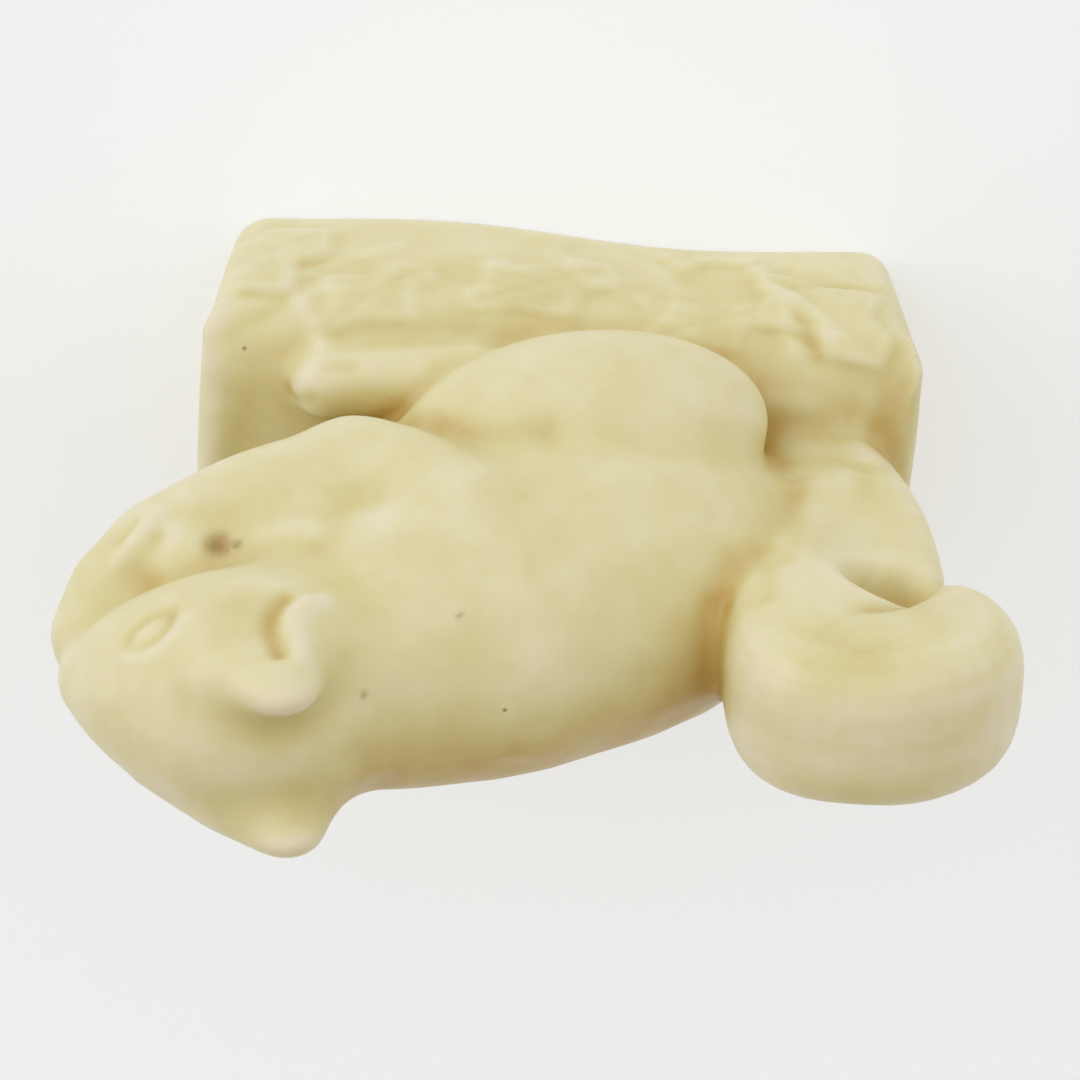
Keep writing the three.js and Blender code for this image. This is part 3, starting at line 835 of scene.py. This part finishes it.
class ORNAMENT_OT_squirrel(bpy.types.Operator):
    """Make the squirrel, its nut and its log, as one glazed casting"""

    bl_idname = "ornament.squirrel"
    bl_label = "Squirrel on its log"

    def execute(self, context):
        sizes = context.scene.squirrel_sizes
        colours = context.scene.glaze_colours
        piece = link("glazed_squirrel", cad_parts["squirrel_on_log"].data.copy())
        piece.data.materials.clear()
        weld = piece.modifiers.new("Weld", "WELD")
        weld.merge_threshold = 0.02 * MM
        fine = piece.modifiers.new("Fine", "REMESH")
        fine.mode = "VOXEL"
        fine.voxel_size = sizes.cell
        mesh = applied(piece)
        if len(mesh.vertices) < 1000:
            raise RuntimeError("the fine surface came out empty")

        # Lays the points evenly on the smooth forms, then presses the marks in.
        points = points_of(mesh)
        for _ in range(LAYING_ROUNDS):
            points = neighbour_means(mesh, points, EVENING_ROUNDS)
            for _ in range(STEPS):
                put_points(mesh, points)
                step = np.clip(casting(points, sizes.vein / MM), -STEP_LIMIT, STEP_LIMIT)
                points = points - step[:, None] * normals_of(mesh)
        put_points(mesh, points)
        normals = normals_of(mesh)
        raised = relief(points, sizes.eye / MM, sizes.marks) * ramp(points[:, 2] / 2)
        points = points + raised[:, None] * normals
        points[:, 2] = np.maximum(points[:, 2], 0)
        put_points(mesh, points)

        # How enclosed each place is, from how fast the surface falls away above it
        hollow = np.zeros(len(points))
        for reach, share in FEELERS:
            clear = casting(points + normals * reach, sizes.vein / MM) / reach
            hollow += share * np.clip(1 - clear, 0, 1)
        smooth = neighbour_means(mesh, points, 6)
        bowl = ((smooth - points) * normals).sum(axis=1)
        body, tail, along, around = squirrel(squirrel_frame(points))
        ground = log(points, 0)
        on_log = ramp((np.minimum(body, tail) - ground) / 3) * ramp((points[:, 2] - 4) / 16)
        furry = ramp((np.minimum(body, ground) - tail) / 5)
        # Painted shade: the glaze is made thicker, so more golden, over the top and left of the
        # back, the side away from the light.
        x, y, z = squirrel_frame(points).T
        run = ramp((y + 6) / 20) * ramp((34 - np.abs(x - 2)) / 16) * ramp((z - 58) / 22)
        run *= ramp((np.minimum(tail, ground) - body) / 6)
        # Painted light: the glaze is made thinner, so paler, at the front under the head and arms,
        # where they cast shade
        painted_light_under_arm = ramp((x - 22) / 14) * ramp((72 - z) / 14)
        # This thickness is real pooled glaze, with painted shade on the back and painted light
        # under the arms
        pooled_and_shading = GLAZE_OPEN + (GLAZE_HOLLOW + PAINTED_LIGHT_ARM_HOLLOW * painted_light_under_arm) * hollow
        pooled_and_shading += GLAZE_DIP * bowl + GLAZE_RIDGE * np.minimum(raised, 0.4)
        pooled_and_shading += (GLAZE_LOG + PAINTED_LIGHT_ARM_LOG * painted_light_under_arm) * on_log
        pooled_and_shading += PAINTED_SHADE_BACK * run + GLAZE_TAIL * furry
        pooled_and_shading = neighbour_means(mesh, np.clip(pooled_and_shading, 0, 1)[:, None], 2)[:, 0]
        dented = (1 - furry) * ramp(points[:, 2] / 4)
        bare = np.zeros(len(points))
        for middle, radius in PITS:
            off = length(squirrel_frame(points) - middle) / radius
            # Above 1, so that the middle of a pit is wholly bare
            bare = np.maximum(bare, 1.3 * np.exp(-off * off))
        fields = {"pooled_and_shading": pooled_and_shading, "along": along, "around": around, "tail": furry,
                  "open": dented, "bare": np.minimum(bare, 1)}
        for name, values in fields.items():
            layer = mesh.attributes.new(name, "FLOAT", "POINT")
            layer.data.foreach_set("value", values.astype(np.float32))

        use_tree(piece, brushing_tree(), {
            "Groove depth": sizes.fur_depth, "Groove spacing": sizes.fur_spacing,
            "Groove length": sizes.fur_length, "Dent depth": sizes.dent_depth,
            "Dent size": sizes.dent_size, "Dent spacing": sizes.dent_spacing,
            "Seed": sizes.seed, "Glaze": glaze_material(colours), "Body": body_material(colours),
        })
        mesh = applied(piece)
        mesh.polygons.foreach_set("use_smooth", [True] * len(mesh.polygons))
        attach(piece, "root")
        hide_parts("squirrel_on_log")
        return {"FINISHED"}


class ORNAMENT_OT_studio(bpy.types.Operator):
    """Lay the floor, light it softly and set the camera as the photograph was taken"""

    bl_idname = "ornament.studio"
    bl_label = "Floor, light and camera"

    def execute(self, context):
        scene = context.scene
        settings = scene.studio_settings
        mesh = bpy.data.meshes.new("floor")
        mesh.from_pydata(
            [(-3, -3, -1e-4), (3, -3, -1e-4), (3, 3, -1e-4), (-3, 3, -1e-4)], [], [(0, 1, 2, 3)]
        )
        floor = link("floor", mesh)
        material = bpy.data.materials.new("Lit acrylic floor")
        material.use_nodes = True
        tree = material.node_tree
        tree.nodes.clear()
        # White acrylic, lit a little from within, with a faint tone that wanders over about 10 cm
        spot = add(tree, "ShaderNodeTexCoord").outputs["Object"]
        tone = add(tree, "ShaderNodeTexNoise", {}, {"Vector": spot, "Scale": 10}).outputs["Fac"]
        tint = add(tree, "ShaderNodeValToRGB", {}, {"Fac": tone})
        bands = tint.color_ramp.elements
        bands[0].color = [0.99 * c for c in settings.floor[:3]] + [1]
        bands[1].color = settings.floor
        shader = add(
            tree, "ShaderNodeBsdfPrincipled", {},
            {
                "Base Color": tint.outputs["Color"], "Roughness": 0.9, "Specular IOR Level": 0.1,
                "Emission Color": (1, 1, 1, 1), "Emission Strength": settings.glow,
            },
        )
        add(tree, "ShaderNodeOutputMaterial", {}, {"Surface": shader.outputs[0]})
        mesh.materials.append(material)

        # The light is even on the near side and fades to a dim warm one on the far side.
        world = bpy.data.worlds.new("Studio light")
        world.use_nodes = True
        tree = world.node_tree
        tree.nodes.clear()
        way = add(tree, "ShaderNodeTexCoord").outputs["Generated"]
        far = add(
            tree, "ShaderNodeVectorMath", {"operation": "DOT_PRODUCT"},
            {0: way, 1: (-0.2, 0.95, 0.1)},
        ).outputs["Value"]
        share = add(
            tree, "ShaderNodeMapRange", {"interpolation_type": "SMOOTHSTEP"},
            {"Value": far, "From Min": -0.3, "From Max": 0.9},
        ).outputs[0]
        light = add(
            tree, "ShaderNodeMix", {"data_type": "RGBA"},
            {0: share, 6: settings.near_sky, 7: settings.far_sky},
        ).outputs[2]
        sky = add(tree, "ShaderNodeBackground", {}, {"Color": light})
        add(tree, "ShaderNodeOutputWorld", {}, {"Surface": sky.outputs[0]})
        scene.world = world

        lamp = bpy.data.lights.new("Soft lamp", "SUN")
        lamp.angle = radians(50)
        lamp.energy = settings.lamp
        hung = link("Soft lamp", lamp)
        hung.rotation_euler = Vector((0.9, -0.5, 0.15)).to_track_quat("Z", "Y").to_euler()

        # The photograph looks down at 60 degrees from the squirrel's right, and is upside down.
        turn = Matrix.Rotation(radians(SQUIRREL_TURN), 3, "Z")
        back = turn @ Vector((0, -cos(radians(CAMERA_TILT)), sin(radians(CAMERA_TILT))))
        across = turn @ Vector((-1, 0, 0))
        upward = back.cross(across)
        view = bpy.data.cameras.new("Photograph view")
        view.sensor_width = CAMERA_SENSOR
        view.lens = CAMERA_LENS
        view.clip_start = 0.01
        camera = link("Photograph view", view)
        at = turn @ Vector(CAMERA_AIM) + back * CAMERA_AWAY
        facing = Matrix((across, upward, back)).transposed().to_4x4()
        camera.matrix_world = Matrix.Translation(at) @ facing
        scene.camera = camera
        scene.view_settings.view_transform = "Standard"
        return {"FINISHED"}


class ORNAMENT_PT_parts(bpy.types.Panel):
    """The pieces of the ornament, and their sizes and colours"""

    bl_idname = "ORNAMENT_PT_parts"
    bl_label = "Glazed squirrel"
    bl_space_type = "VIEW_3D"
    bl_region_type = "UI"
    bl_category = "Ornament"

    def draw(self, context):
        for kind, group in (
            (ORNAMENT_OT_squirrel, context.scene.squirrel_sizes),
            (ORNAMENT_OT_squirrel, context.scene.glaze_colours),
            (ORNAMENT_OT_studio, context.scene.studio_settings),
        ):
            box = self.layout.box()
            box.operator(kind.bl_idname)
            for name in group.__annotations__:
                box.prop(group, name)


CLASSES = (
    SquirrelSizes, GlazeColours, StudioSettings,
    ORNAMENT_OT_squirrel, ORNAMENT_OT_studio, ORNAMENT_PT_parts,
)


def register():
    for kind in CLASSES:
        bpy.utils.register_class(kind)
    bpy.types.Scene.squirrel_sizes = PointerProperty(type=SquirrelSizes)
    bpy.types.Scene.glaze_colours = PointerProperty(type=GlazeColours)
    bpy.types.Scene.studio_settings = PointerProperty(type=StudioSettings)


def unregister():
    for name in ("squirrel_sizes", "glaze_colours", "studio_settings"):
        delattr(bpy.types.Scene, name)
    for kind in reversed(CLASSES):
        bpy.utils.unregister_class(kind)


def main():
    register()
    bpy.ops.ornament.studio()
    bpy.ops.ornament.squirrel()


if __name__ == "__main__":
    main()
